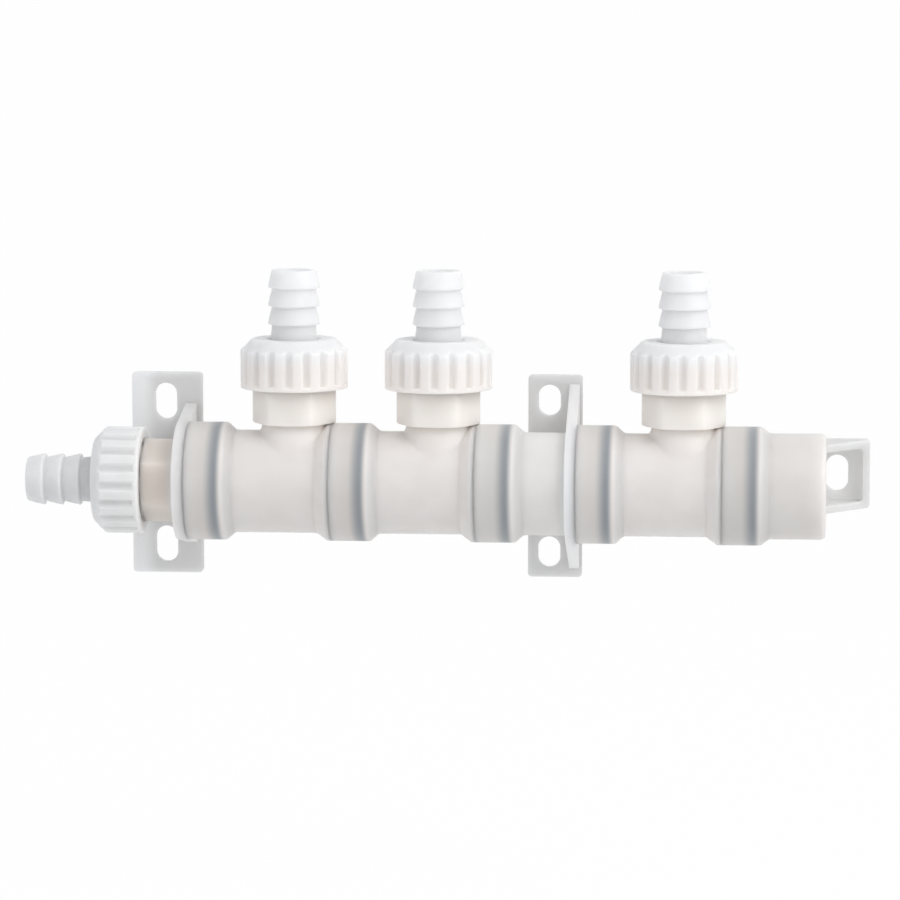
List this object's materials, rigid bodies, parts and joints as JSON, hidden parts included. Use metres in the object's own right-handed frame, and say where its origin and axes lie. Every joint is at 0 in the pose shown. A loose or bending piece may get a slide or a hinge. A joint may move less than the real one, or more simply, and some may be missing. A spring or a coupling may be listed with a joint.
{
  "type": "rack coolant manifold",
  "caption": "Push-fit translucent plastic coolant manifold with a side hose inlet, upright hose outlets on ribbed union nuts, slotted mounting brackets and a slotted end cap.",
  "frame": {"origin": "on the mounting plane, midway between the two slots of the inlet bracket, level with the pipe's axis", "axes": "+X runs along the pipe from the inlet to the end cap, +Z is the way the outlets point, +Y points into the surface that the brackets are screwed to"},
  "size_m": [0.2628, 0.0398, 0.0982],
  "materials": {
    "tee_body": "natural translucent polypropylene, smooth moulded",
    "bracket_body": "natural translucent polypropylene, smooth moulded",
    "cap_body": "natural translucent polypropylene, smooth moulded",
    "union_nut": "natural white polypropylene, smooth moulded",
    "hose_tail": "natural white polypropylene, smooth moulded",
    "inlet_tail": "natural translucent polypropylene, smooth moulded",
    "o_ring": "dark synthetic rubber",
    "gasket": "dark synthetic rubber"
  },
  "bodies": {
    "root": {"inlet_adapter": "bracket_body", "tee_1": "tee_body", "tee_2": "tee_body", "joiner": "bracket_body", "tee_3": "tee_body", "end_cap": "cap_body", "o_ring_1": "o_ring", "o_ring_2": "o_ring", "o_ring_3": "o_ring", "o_ring_4": "o_ring", "o_ring_5": "o_ring", "gasket_inlet": "gasket", "union_nut_inlet": "union_nut", "hose_tail_inlet": "inlet_tail", "gasket_1": "gasket", "union_nut_1": "union_nut", "hose_tail_1": "hose_tail", "gasket_2": "gasket", "union_nut_2": "union_nut", "hose_tail_2": "hose_tail", "gasket_3": "gasket", "union_nut_3": "union_nut", "hose_tail_3": "hose_tail"}
  },
  "joints": []
}
